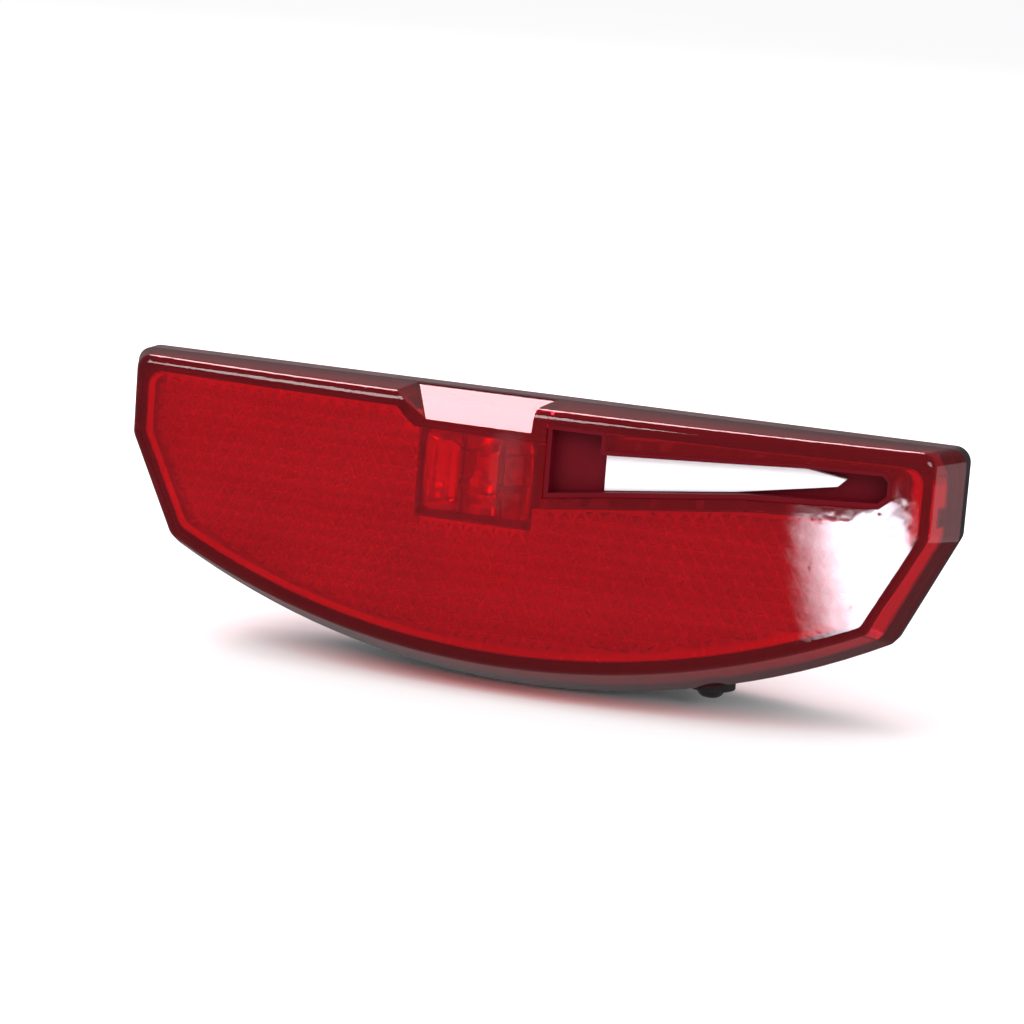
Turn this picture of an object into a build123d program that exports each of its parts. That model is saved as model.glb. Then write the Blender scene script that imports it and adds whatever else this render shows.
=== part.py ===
from build123d import *
import math
import os

# ---------------------------------------------------------------------------
# Battery tail light for a luggage rack.
# Frame: origin on the mounting face, half way between the two studs.
# +Y runs out of the back towards the rack, -Y looks rearward through the lens,
# +X is the viewer's right when facing the lens, +Z is up.  All sizes in mm.
# ---------------------------------------------------------------------------

# overall outline, seen from the front
HALF_W = 60.0            # half width at the shoulders
TOP_Z = 15.0             # flat top edge
SHOULDER_Z = 3.0         # foot of the vertical side
CORNER_X = 52.7          # where the diagonal meets the bottom curve
CORNER_Z = -12.3
BOTTOM_Z = -25.6         # lowest point of the bottom curve
TAPER = math.tan(math.radians(23.0))   # lens walls lean in towards the front
CORNER_R = 2.2           # rounding of the outline corners

# depth planes
PAD_T = 1.5              # rubber pad between base and rack
BACK_WALL = 2.5
LENS_Y = -23.0           # joint between base and lens
FLANGE_T = 3.0
LENS_DEPTH_MID = 11.2    # lens depth in front of the joint, middle
LENS_DEPTH_END = 6.7     # the same at the shoulders
LENS_RIM = 3.6           # width of the rim that presses on the seal
LENS_RIM_T = 1.5
LENS_WALL = 2.0
LENS_SIDE = 2.2
FRONT_FILLET = 1.6
PANEL_T0 = 3.3           # reflex panel, depth of its front behind the face
PANEL_T1 = 4.5

# tub behind the flange
TUB_HALF_W = 51.0
TUB_TOP = 9.5
TUB_INSET = 2.5
TUB_WALL = 2.0

# mounting studs
STUD_SPACING = 80.0
STUD_R = 2.5
STUD_OUT = 16.0
NECK_R = 2.75           # plain neck inside the base and the pad
HEAD_AF = 8.0
HEAD_T = 3.5

# batteries, two AAA cells
CELL_R = 5.25
CELL_L = 44.5
NUB_R = 1.9
NUB_L = 0.8
CELL_Y = -10.15
CELL_Z = (1.0, -10.0)
BAY_HALF = 24.25
PLATE_T = 0.3

# circuit board
PCB_BACK = -15.8
PCB_FRONT = -17.4
PCB_HALF_W = 46.0
PCB_TOP = 6.8
PCB_BOTTOM = -8.5
POST_X = 31.0
POST_Z = 4.0

# light engine
LED_X = -4.0
LED_Z = 3.2
OPTIC_X = -5.5
OPTIC_Z = 4.2

# push button under the lamp
BTN_X = 27.0
BTN_Y = -19.4
BTN_BOTTOM = -24.3
BTN_HEAD_R = 2.0
BTN_STEM_R = 1.0
BTN_BORE_R = 2.05
BOSS_R = 3.4
BOSS_BOTTOM = -22.9
LEDGE_LOW = -15.7
LEDGE_TOP = -14.2
BTN_HEAD_TOP = -18.5
SWITCH_BOTTOM = -8.3
PLUNGER_LOW = -10.8
TRAVEL = 1.2

# lens screws
SCREW_X = 54.2
SCREW_Z = 6.0
SPIGOT_R = 1.95          # lens boss, sunk into the base flange
SPIGOT_T = 1.4
BOSS_TIP = -25.8         # front end of the boss, behind the reflex panel

os.makedirs("parts", exist_ok=True)


def save(shape, name):
    shape.label = name
    export_step(shape, "parts/" + name + ".step")


# ---- plane helpers ---------------------------------------------------------
# The XZ sketches are drawn looking at the lens: u = x, v = z.
def xz_plane(y):
    return Plane(origin=(0, y, 0), x_dir=(1, 0, 0), z_dir=(0, -1, 0))


ARC_SAG = CORNER_Z - BOTTOM_Z
ARC_R = (CORNER_X ** 2 + ARC_SAG ** 2) / (2 * ARC_SAG)
ARC_CZ = BOTTOM_Z + ARC_R
DIAG = math.atan2(HALF_W - CORNER_X, SHOULDER_Z - CORNER_Z)  # lean of the diagonal


def outline_face(inset=0.0, top_inset=None, r=CORNER_R):
    """The D outline drawn in by inset; the top edge by top_inset."""
    tp = inset if top_inset is None else top_inset
    nx, nz = math.cos(DIAG), -math.sin(DIAG)        # outward normal, right side
    off = nx * HALF_W + nz * SHOULDER_Z - inset     # diagonal: nx*x + nz*z = off
    x_side = HALF_W - inset
    z_side = (off - nx * x_side) / nz
    # diagonal with the bottom arc: point on the line nearest the arc centre
    rad = ARC_R - inset
    dist = off - nz * ARC_CZ
    foot = (dist * nx, ARC_CZ + dist * nz)
    half = math.sqrt(rad ** 2 - dist ** 2)
    tx, tz = -nz, nx                                # along the line, upward
    p = (foot[0] - half * tx, foot[1] - half * tz)
    with BuildSketch(Plane.XY) as sk:
        with BuildLine():
            Polyline((-p[0], p[1]), (-x_side, z_side), (-x_side, TOP_Z - tp),
                     (x_side, TOP_Z - tp), (x_side, z_side), p)
            ThreePointArc(p, (0, BOTTOM_Z + inset), (-p[0], p[1]))
        make_face()
        fillet(sk.vertices(), r)
    return sk.sketch


def poly_face(pts, grow=0.0, r=0.0):
    with BuildSketch(Plane.XY) as sk:
        with BuildLine():
            Polyline(*pts, close=True)
        make_face()
        if grow != 0.0:
            offset(amount=grow, kind=Kind.INTERSECTION, mode=Mode.REPLACE)
        if r > 0:
            fillet(sk.vertices(), r)
    return sk.sketch


def prism(face2d, y_near, y_far):
    """Extrude an XZ face from y_near (larger y) to y_far (smaller y)."""
    placed = xz_plane(y_near) * face2d
    return extrude(placed, amount=y_near - y_far, dir=(0, -1, 0))


def box(x0, x1, y0, y1, z0, z1):
    return Pos((x0 + x1) / 2, (y0 + y1) / 2, (z0 + z1) / 2) * Box(
        x1 - x0, y1 - y0, z1 - z0)


def cyl_y(x, z, r, y0, y1):
    return Pos(x, (y0 + y1) / 2, z) * Rot(90, 0, 0) * Cylinder(r, y1 - y0)


def cyl_z(x, y, r, z0, z1):
    return Pos(x, y, (z0 + z1) / 2) * Cylinder(r, z1 - z0)


def cyl_x(y, z, r, x0, x1):
    return Pos((x0 + x1) / 2, y, z) * Rot(0, 90, 0) * Cylinder(r, x1 - x0)


def tapered(s0, tp, y_near, y_far):
    """D outline that leans in by TAPER towards the front, except on top."""
    fa = xz_plane(y_near) * outline_face(s0 + TAPER * (LENS_Y - y_near), tp)
    fb = xz_plane(y_far) * outline_face(s0 + TAPER * (LENS_Y - y_far), tp)
    return loft([fa, fb], ruled=True)


# front of the lens is a vertical cylinder of large radius
SAG = LENS_DEPTH_MID - LENS_DEPTH_END
FRONT_R = (HALF_W ** 2 + SAG ** 2) / (2 * SAG)
FRONT_CY = LENS_Y - LENS_DEPTH_MID + FRONT_R


def dvol(t, y_near=LENS_Y):
    """Everything in front of y_near that lies at least t behind the face."""
    disc = Pos(0, FRONT_CY, 0) * Cylinder(FRONT_R - t, 80)
    return disc & box(-70, 70, -40, y_near, -35, 30)


def front_y(x, t=0.0):
    return FRONT_CY - math.sqrt((FRONT_R - t) ** 2 - x * x)


def layer(face2d, t0, t1):
    """The part of an XZ outline between depths t0 and t1 behind the face."""
    slab = prism(face2d, LENS_Y, -40)
    return (slab & dvol(t0)) - dvol(t1)


# ---- openings and pockets that several pieces share ------------------------
POCKET = [(5.0, 3.0), (14.0, 4.2), (32.5, 6.2), (50.4, 7.0), (52.0, 8.4),
          (52.0, 11.0), (50.8, 12.2), (40.0, 12.1), (13.4, 10.7),
          (13.4, 13.3), (5.0, 13.3)]
WINDOW = [(13.2, 4.95), (31.0, 6.95), (44.5, 9.2), (45.6, 10.3),
          (40.0, 11.2), (13.2, 9.8)]


def notch(drop=0.0, grow=0.0):
    """Sloping facet cut into the middle of the top edge."""
    wedge = Polygon((-LENS_Y + 1.2, TOP_Z + 0.5), (40, TOP_Z + 0.5),
                    (40, TOP_Z - 5.1), (-LENS_Y + 1.2, TOP_Z - 0.15),
                    align=None)
    side = Plane(origin=(-25, 0, -drop), x_dir=(0, -1, 0), z_dir=(-1, 0, 0))
    a = extrude(side * wedge, amount=40, dir=(1, 0, 0))
    trap = poly_face([(-18.0 - grow, TOP_Z + 0.5), (3.2 + grow, TOP_Z + 0.5),
                      (2.6 + grow, TOP_Z - 6 - drop),
                      (-8.0 - grow * 1.4, TOP_Z - 6 - drop)])
    b = prism(trap, LENS_Y + 5, -45)
    return a & b


# ---- lens ------------------------------------------------------------------
lens = tapered(0.0, 0.0, LENS_Y, LENS_Y - 14) & dvol(0)
front_edges = [e for e in lens.edges()
               if e.center().Y < LENS_Y - 3 and
               abs(e.bounding_box().size.Y) < 6.5 and
               max(abs(v.Y - front_y(v.X)) for v in
                   (e @ 0, e @ 0.5, e @ 1)) < 0.05]
lens = fillet(front_edges, FRONT_FILLET)
lens = lens - notch()
cavity = (tapered(LENS_SIDE, LENS_SIDE, LENS_Y - LENS_RIM_T, LENS_Y - 14)
          & dvol(LENS_WALL, LENS_Y + 1))
cavity = cavity - notch(drop=2.1, grow=2.0)
cavity = cavity + prism(outline_face(LENS_RIM), LENS_Y + 1,
                        LENS_Y - LENS_RIM_T)
lens = lens - cavity
lens = lens - prism(poly_face(POCKET), LENS_Y, -40)
for s in (-1, 1):
    boss = cyl_y(s * SCREW_X, SCREW_Z, SPIGOT_R, BOSS_TIP, LENS_Y + SPIGOT_T - 0.1)
    x_in, x_out = s * SCREW_X, s * 58.0
    web = box(min(x_in, x_out), max(x_in, x_out), BOSS_TIP, LENS_Y,
              SCREW_Z - 1.2, SCREW_Z + 1.2)
    web = web & tapered(0.8, 0.8, LENS_Y, LENS_Y - 14)
    lens = lens + boss + web
for s in (-1, 1):
    lens = lens - cyl_y(s * SCREW_X, SCREW_Z, 1.12, BOSS_TIP + 0.4, LENS_Y + 5)
save(lens, "lens")

# ---- sensor bezel and window ------------------------------------------------
cav_clear = (tapered(LENS_SIDE + 0.15, LENS_SIDE + 0.15, LENS_Y - LENS_RIM_T,
                     LENS_Y - 14)
             & dvol(LENS_WALL, LENS_Y + 1)) - notch(drop=2.3, grow=2.3)
plug = layer(poly_face(POCKET, grow=-0.08), 0.25, 4.2)
bez_flange = layer(poly_face(POCKET, grow=1.4), LENS_WALL, 4.2) & cav_clear
bezel = plug + bez_flange
bezel = bezel - layer(poly_face(POCKET, grow=-0.75), -1.0, 2.3)
bezel = bezel - layer(poly_face(WINDOW, grow=0.04), -1.0, 6.0)
save(bezel, "sensor_bezel")

window = layer(poly_face(WINDOW), 1.5, 4.2)
window = window + layer(poly_face(WINDOW, grow=0.7), 4.2, 5.0)
PIPES = (20.5, 27.5)
for px in PIPES:
    stem = cyl_y(px, 5.7, 1.3, -31.5, -19.0)
    window = window + (stem & dvol(4.4, -18.0))
save(window, "sensor_window")

# ---- retroreflector panel ---------------------------------------------------
PANEL = [(-58, 12.5), (-14.0, 12.5), (-14.0, -2.2), (3.0, -2.2), (3.0, 0.9),
         (14.2, 2.2), (33.0, 4.2), (51.0, 4.9), (53.8, 4.9), (53.8, 12.5),
         (58, 12.5), (58, -25), (-58, -25)]
panel = layer(outline_face(1.0) & poly_face(PANEL), PANEL_T0, PANEL_T1)
panel = panel & tapered(LENS_SIDE + 0.2, 2.5, LENS_Y, LENS_Y - 14)
panel = panel - notch(drop=2.5, grow=2.6)
# skirt along the ends and the bottom, from the lens face back to its rim
skirt = (tapered(LENS_SIDE + 0.2, 2.5, LENS_Y, LENS_Y - 14)
         - tapered(LENS_SIDE + 1.1, 2.4, LENS_Y + 1, LENS_Y - 15))
skirt = skirt & dvol(LENS_WALL + 0.05, LENS_Y - LENS_RIM_T - 0.1)
skirt = skirt & box(-70, 70, -40, 0, -40, 12.4)
panel = panel + skirt
for s in (-1, 1):
    panel = panel - box(min(s * SCREW_X, s * 60), max(s * SCREW_X, s * 60),
                        BOSS_TIP - 0.15, LENS_Y, SCREW_Z - 1.4, SCREW_Z + 1.4)
    panel = panel - cyl_y(s * SCREW_X, SCREW_Z, SPIGOT_R + 0.2, BOSS_TIP - 0.15,
                          LENS_Y)
save(panel, "retroreflector_panel")

# ---- base housing -----------------------------------------------------------
base = prism(outline_face(), LENS_Y + FLANGE_T, LENS_Y)
base = base & prism(outline_face(), 5, -40)
tub_rect = Pos(0, (TUB_TOP - 40) / 2) * Rectangle(2 * TUB_HALF_W, TUB_TOP + 40)
tub_out2d = outline_face(TUB_INSET) & tub_rect
tub_out = prism(tub_out2d, -PAD_T, LENS_Y + FLANGE_T)
tub_out = fillet([e for e in tub_out.edges()
                  if abs((e @ 0).X - (e @ 1).X) < 0.01 and
                  abs((e @ 0).Z - (e @ 1).Z) < 0.01 and
                  (e @ 0).Z > 5], 3.0)
tub_out = fillet([e for e in tub_out.edges()
                  if abs(e.center().Y + PAD_T) < 0.01], 1.2)
in_rect = Pos(0, (TUB_TOP - TUB_WALL - 40) / 2) * Rectangle(
    2 * (TUB_HALF_W - TUB_WALL), TUB_TOP - TUB_WALL + 40)
tub_in2d = outline_face(TUB_INSET + TUB_WALL) & in_rect
tub_in = prism(tub_in2d, -PAD_T - BACK_WALL, LENS_Y - 1)
base = base + tub_out
# button guide below the tub
guide = cyl_z(BTN_X, BTN_Y, BOSS_R, BOSS_BOTTOM, -15.0)
base = base + guide
# gussets between the tub and the back of the flange
RIB_T = 1.4
FB = LENS_Y + FLANGE_T
for rx in (-37.0, -12.5, 12.5, 37.0):
    tri = Polyline((rx, FB - 0.5, TUB_TOP - 1), (rx, FB - 0.5, 14.0),
                   (rx, FB, 14.0), (rx, FB + 8, TUB_TOP),
                   (rx, FB + 8, TUB_TOP - 1), close=True)
    base = base + Pos(-RIB_T / 2, 0, 0) * extrude(make_face(tri.edges()), amount=RIB_T,
                                                  dir=(1, 0, 0))
for s in (-1, 1):
    tri = Polyline((s * (TUB_HALF_W - 1), FB - 0.5, -3.0), (s * 57.0, FB - 0.5, -3.0),
                   (s * 57.0, FB, -3.0), (s * TUB_HALF_W, FB + 8, -3.0),
                   (s * (TUB_HALF_W - 1), FB + 8, -3.0), close=True)
    rib = Pos(0, 0, -RIB_T / 2) * extrude(make_face(tri.edges()), amount=RIB_T,
                                          dir=(0, 0, 1))
    base = base + (rib & prism(outline_face(0.6), 0, -40))
base = base - tub_in
inner_boss = cyl_z(BTN_X, BTN_Y, 3.0, -19.0, LEDGE_TOP)
base = base + inner_boss
base = base - cyl_z(BTN_X, BTN_Y, BTN_BORE_R, BOSS_BOTTOM - 1, LEDGE_LOW)
base = base - cyl_z(BTN_X, BTN_Y, BTN_STEM_R + 0.05, LEDGE_LOW - 1,
                    LEDGE_TOP + 1)
# posts for the board
for s in (-1, 1):
    base = base + cyl_y(s * POST_X, POST_Z, 2.4, PCB_BACK, -3.0)
    base = base - cyl_y(s * POST_X, POST_Z, 0.95, PCB_BACK - 0.1, -8.0)
# hexagonal pockets that hold the stud heads
for s in (-1, 1):
    sx = s * STUD_SPACING / 2
    collar = cyl_y(sx, 0, 6.2, -6.6, -3.5)
    base = base + (collar & prism(tub_in2d, -3.0, -7.0))
    hexa = prism(Pos(sx, 0) * RegularPolygon(HEAD_AF / 2 + 0.06, 6,
                 major_radius=False), -4.0, -9.0)
    base = base - hexa
    base = base - cyl_y(sx, 0, NECK_R + 0.05, -6, 0)
# seal groove in the flange face
groove = prism(outline_face(1.6), LENS_Y + 1.2, LENS_Y - 1) - prism(
    outline_face(3.4), LENS_Y + 1.3, LENS_Y - 1)
base = base - groove
for s in (-1, 1):
    base = base - cyl_y(s * SCREW_X, SCREW_Z, 1.3, LENS_Y - 1, LENS_Y + 5)
    base = base - cyl_y(s * SCREW_X, SCREW_Z, SPIGOT_R + 0.1, LENS_Y - 1,
                        LENS_Y + SPIGOT_T)
# drain at the lowest point
base = base - cyl_z(0, -12.0, 1.0, -30, -15)
save(base, "base_housing")

gasket = prism(outline_face(1.65), LENS_Y + 1.2, LENS_Y) - prism(
    outline_face(3.35), LENS_Y + 1.3, LENS_Y - 1)
save(gasket, "lens_gasket")

# ---- rubber mounting pad ----------------------------------------------------
pad2d = RectangleRounded(96, 15.4, 3.0)
pad = prism(pad2d, 0, -PAD_T)
for s in (-1, 1):
    pad = pad - cyl_y(s * STUD_SPACING / 2, 0, NECK_R + 0.08, -5, 5)
save(pad, "mounting_pad")

# ---- studs ------------------------------------------------------------------
studs = []
for s in (-1, 1):
    sx = s * STUD_SPACING / 2
    head = prism(Pos(sx, 0) * RegularPolygon(HEAD_AF / 2, 6,
                 major_radius=False), -4.0, -4.0 - HEAD_T)
    neck = cyl_y(sx, 0, NECK_R, -4.5, 0)
    shank = cyl_y(sx, 0, STUD_R, -0.5, STUD_OUT)
    tip = [e for e in shank.edges() if abs(e.center().Y - STUD_OUT) < 0.01]
    shank = chamfer(tip, 0.6)
    studs.append(head + neck + shank)
save(Compound(children=studs), "mounting_studs")

# ---- lens screws ------------------------------------------------------------
screws = []
for s in (-1, 1):
    sx = s * SCREW_X
    head = cyl_y(sx, SCREW_Z, 2.3, LENS_Y + FLANGE_T, LENS_Y + FLANGE_T + 1.8)
    head = fillet([e for e in head.edges()
                   if abs(e.center().Y - (LENS_Y + FLANGE_T + 1.8)) < 0.01], 0.7)
    shank = cyl_y(sx, SCREW_Z, 1.08, BOSS_TIP + 0.6, LENS_Y + FLANGE_T + 0.2)
    body = head + shank
    slot_a = box(sx - 1.3, sx + 1.3, LENS_Y + FLANGE_T + 0.9,
                 LENS_Y + FLANGE_T + 3, SCREW_Z - 0.25, SCREW_Z + 0.25)
    slot_b = box(sx - 0.25, sx + 0.25, LENS_Y + FLANGE_T + 0.9,
                 LENS_Y + FLANGE_T + 3, SCREW_Z - 1.3, SCREW_Z + 1.3)
    screws.append(body - slot_a - slot_b)
save(Compound(children=screws), "lens_screws")

# ---- battery cradle ---------------------------------------------------------
CRADLE_TOP = 6.6
CRADLE_LOW = -15.5
cradle = box(-BAY_HALF - 1.4, BAY_HALF + 1.4, -4.8, -4.0, CRADLE_LOW, CRADLE_TOP)
for s in (-1, 1):
    x0, x1 = s * BAY_HALF, s * (BAY_HALF + 1.4)
    cradle = cradle + box(min(x0, x1), max(x0, x1), -15.0, -4.0,
                          CRADLE_LOW, CRADLE_TOP)
for cz in CELL_Z:
    for rx in (-15.0, 15.0):
        rib = box(rx - 1.2, rx + 1.2, -8.5, -4.4, cz - 5.2, cz + 5.2)
        cradle = cradle + rib
for cz in CELL_Z:
    cradle = cradle - cyl_x(CELL_Y, cz, CELL_R + 0.08, -BAY_HALF, BAY_HALF)
save(cradle, "battery_cradle")

# ---- cells ------------------------------------------------------------------
CELL_END = BAY_HALF - PLATE_T
cells = []
for cz, d in zip(CELL_Z, (1, -1)):
    tip_x = d * CELL_END
    shoulder = tip_x - d * NUB_L
    tail = tip_x - d * CELL_L
    can = cyl_x(CELL_Y, cz, CELL_R, min(shoulder, tail), max(shoulder, tail))
    can = fillet([e for e in can.edges() if e.geom_type == GeomType.CIRCLE], 0.5)
    nub = cyl_x(CELL_Y, cz, NUB_R, min(tip_x, shoulder - d), max(tip_x, shoulder - d))
    cells.append(can + nub)
save(Compound(children=cells), "battery_cells")

# ---- battery contacts -------------------------------------------------------
def plate(side, z0, z1):
    x0, x1 = side * (BAY_HALF - PLATE_T), side * BAY_HALF
    return box(min(x0, x1), max(x0, x1), CELL_Y - 4.2, CELL_Y + 4.2, z0, z1)


bridge = plate(1, CELL_Z[1] - 4.2, CELL_Z[0] + 4.2)
save(bridge, "bridge_contact")
terminals = []
for cz in CELL_Z:
    t = plate(-1, cz - 4.2, cz + 4.2)
    terminals.append(t)
save(Compound(children=terminals), "terminal_plates")

springs = []
for cz, d in zip(CELL_Z, (1, -1)):
    gap_start = -d * CELL_END                       # plate face
    n_turns = 3.0
    length = (2 * CELL_END - CELL_L) - 0.72
    helix = Helix(pitch=length / n_turns, height=length, radius=3.0)
    loc = Plane(origin=(gap_start + d * 0.36, CELL_Y, cz), x_dir=(0, 1, 0),
                z_dir=(d, 0, 0))
    path = loc * helix
    start = path @ 0
    tang = path % 0
    wire = Plane(origin=start, z_dir=tang) * Circle(0.3)
    springs.append(sweep(wire, path=path))
save(Compound(children=springs), "battery_springs")

# ---- circuit board ----------------------------------------------------------
pcb2d = Pos(0, (PCB_TOP + PCB_BOTTOM) / 2) * RectangleRounded(
    2 * PCB_HALF_W, PCB_TOP - PCB_BOTTOM, 1.0)
pcb = prism(pcb2d, PCB_BACK, PCB_FRONT)
for s in (-1, 1):
    pcb = pcb - cyl_y(s * POST_X, POST_Z, 1.2, -20, -10)
save(pcb, "circuit_board")

pcb_screws = []
for s in (-1, 1):
    sx = s * POST_X
    head = cyl_y(sx, POST_Z, 1.9, PCB_FRONT - 1.4, PCB_FRONT)
    head = fillet([e for e in head.edges()
                   if abs(e.center().Y - (PCB_FRONT - 1.4)) < 0.01], 0.5)
    shank = cyl_y(sx, POST_Z, 0.92, PCB_FRONT - 0.2, -10.2)
    drive = box(sx - 1.1, sx + 1.1, PCB_FRONT - 3, PCB_FRONT - 0.7,
                POST_Z - 0.2, POST_Z + 0.2)
    drive2 = box(sx - 0.2, sx + 0.2, PCB_FRONT - 3, PCB_FRONT - 0.7,
                 POST_Z - 1.1, POST_Z + 1.1)
    pcb_screws.append(head + shank - drive - drive2)
save(Compound(children=pcb_screws), "pcb_screws")

# ---- electronics ------------------------------------------------------------
def smd(x, z, w, h, t, r=0.0):
    return box(x - w / 2, x + w / 2, PCB_FRONT - t, PCB_FRONT, z - h / 2, z + h / 2)


def led_body(x, z, w, h, t, dome_r):
    body = smd(x, z, w, h, t)
    return body - Pos(x, PCB_FRONT - t, z) * Rot(90, 0, 0) * Cone(
        dome_r * 0.7, dome_r, 0.4)


main_led = smd(LED_X, LED_Z, 3.5, 3.5, 0.9)
dome = Pos(LED_X, PCB_FRONT - 0.9, LED_Z) * Sphere(1.35)
dome = dome & box(LED_X - 3, LED_X + 3, PCB_FRONT - 3, PCB_FRONT - 0.8,
                  LED_Z - 3, LED_Z + 3)
main_led = main_led + dome
save(main_led, "main_led")

side_leds = []
for sx, sz in ((-38.0, 2.0), (-24.0, 2.0)):
    side_leds.append(smd(sx, sz, 2.8, 3.5, 1.0))
save(Compound(children=side_leds), "side_leds")

indicator = smd(PIPES[1], 5.2, 2.0, 1.25, 0.8)
save(indicator, "indicator_led")
sensor = smd(PIPES[0], 4.9, 3.2, 2.4, 1.1)
save(sensor, "light_sensor")

chip = smd(-13.0, -4.6, 5.0, 4.0, 1.5)
pins = chip
for i in range(4):
    px = -13.0 - 1.905 + 1.27 * i
    for sgn in (-1, 1):
        pins = pins + box(px - 0.2, px + 0.2, PCB_FRONT - 0.5, PCB_FRONT,
                          -4.6 + sgn * 2.0 - 1.0, -4.6 + sgn * 2.0 + 1.0)
save(pins, "driver_chip")

resistors = [smd(x, z, 2.0, 1.25, 0.55) for x, z in
             ((-20.0, -2.6), (-20.0, -5.4), (-6.4, -3.4), (-6.4, -6.0),
              (-30.5, -3.0), (6.4, -6.0))]
save(Compound(children=resistors), "chip_resistors")

can = Pos(14.5, PCB_FRONT - 2.75, -4.6) * Rot(90, 0, 0) * Cylinder(2.5, 5.5)
can = fillet([e for e in can.edges()
              if abs(e.center().Y - (PCB_FRONT - 5.5)) < 0.01], 0.4)
cap_base = smd(14.5, -4.6, 5.3, 5.3, 0.8)
save(can + cap_base, "capacitor")

# ---- light engine -----------------------------------------------------------
def ring_loft(sections, wall):
    def solid(dx):
        faces = []
        for (y, cx, cz, w, h) in sections:
            faces.append(xz_plane(y) * (Pos(cx, cz) * RectangleRounded(
                w + 2 * dx, h + 2 * dx, 1.0 + dx)))
        out = None
        for a, b in zip(faces[:-1], faces[1:]):
            seg = loft([a, b], ruled=True)
            out = seg if out is None else out + seg
        return out
    return solid(wall) - solid(0.0)


refl = ring_loft([(PCB_FRONT, LED_X, LED_Z, 4.4, 4.4),
                  (LENS_Y - 0.1, LED_X - 0.6, 3.1, 8.6, 6.8),
                  (-29.0, OPTIC_X, OPTIC_Z, 14.8, 10.6)], 0.7)
save(refl, "led_reflector")

optic2d = Pos(OPTIC_X, OPTIC_Z) * RectangleRounded(16.4, 12.2, 1.2)
optic = prism(optic2d, -29.0, -36) & dvol(2.9) & (
    cav_clear - notch(drop=2.6, grow=2.6))
save(optic, "centre_optic")

# ---- push button ------------------------------------------------------------
head = cyl_z(BTN_X, BTN_Y, BTN_HEAD_R, BTN_BOTTOM, BTN_HEAD_TOP)
head = fillet([e for e in head.edges()
               if abs(e.center().Z - BTN_BOTTOM) < 0.01], 1.3)
stem = cyl_z(BTN_X, BTN_Y, BTN_STEM_R, BTN_HEAD_TOP - 0.5, PLUNGER_LOW - 0.02)
button = head + stem
oring_groove = cyl_z(BTN_X, BTN_Y, 3.0, -20.65, -19.85) - cyl_z(
    BTN_X, BTN_Y, 1.38, -20.65, -19.85)
clip_groove = cyl_z(BTN_X, BTN_Y, 3.0, LEDGE_TOP + 0.04, LEDGE_TOP + 0.56) - cyl_z(
    BTN_X, BTN_Y, 0.7, LEDGE_TOP + 0.04, LEDGE_TOP + 0.56)
button = button - oring_groove - clip_groove
save(button, "push_button")

oring = Pos(BTN_X, BTN_Y, -20.25) * Torus(1.70, 0.31)
save(oring, "button_seal")

clip = cyl_z(BTN_X, BTN_Y, 2.1, LEDGE_TOP + 0.06, LEDGE_TOP + 0.54) - cyl_z(
    BTN_X, BTN_Y, 0.72, LEDGE_TOP - 1, LEDGE_TOP + 1)
clip = clip - box(BTN_X - 0.55, BTN_X + 0.55, BTN_Y - 3, BTN_Y,
                  LEDGE_TOP - 1, LEDGE_TOP + 1)
save(clip, "button_clip")

sp_len = (LEDGE_LOW - BTN_HEAD_TOP) - 0.40
helix = Helix(pitch=sp_len / 3.0, height=sp_len, radius=1.5)
path = Pos(BTN_X, BTN_Y, BTN_HEAD_TOP + 0.20) * helix
wire = Plane(origin=path @ 0, z_dir=path % 0) * Circle(0.17)
save(sweep(wire, path=path), "button_spring")

# ---- switch on the board ----------------------------------------------------
sw = box(BTN_X - 3, BTN_X + 3, PCB_FRONT - 4.0, PCB_FRONT, SWITCH_BOTTOM,
         SWITCH_BOTTOM + 6)
sw = sw - cyl_z(BTN_X, BTN_Y, 1.26, SWITCH_BOTTOM - 1, -4.6)
save(sw, "switch_body")
plunger = cyl_z(BTN_X, BTN_Y, 1.2, PLUNGER_LOW, -6.0)
plunger = fillet([e for e in plunger.edges()
                  if abs(e.center().Z - PLUNGER_LOW) < 0.01], 0.3)
save(plunger, "switch_plunger")

# ---- leads from the battery terminals to the board --------------------------
def lead(pts, r=0.55):
    path = Spline(*pts, tangents=((-1, 0, 0), (0, -1, 0)))
    sec = Plane(origin=pts[0], z_dir=(-1, 0, 0)) * Circle(r)
    return sweep(sec, path=path)


lead_x = -BAY_HALF - 1.4
save(lead([(lead_x, -12.6, 2.6), (-29.0, -13.4, -0.6), (-33.5, PCB_BACK, -2.0)]),
     "lead_red")
save(lead([(lead_x, -12.6, -8.4), (-28.2, -13.6, -7.4), (-30.5, PCB_BACK, -6.6)]),
     "lead_black")
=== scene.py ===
import bpy, bmesh, math, random
import numpy as np
from mathutils import Vector, Matrix, noise
from mathutils.geometry import tessellate_polygon


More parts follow.
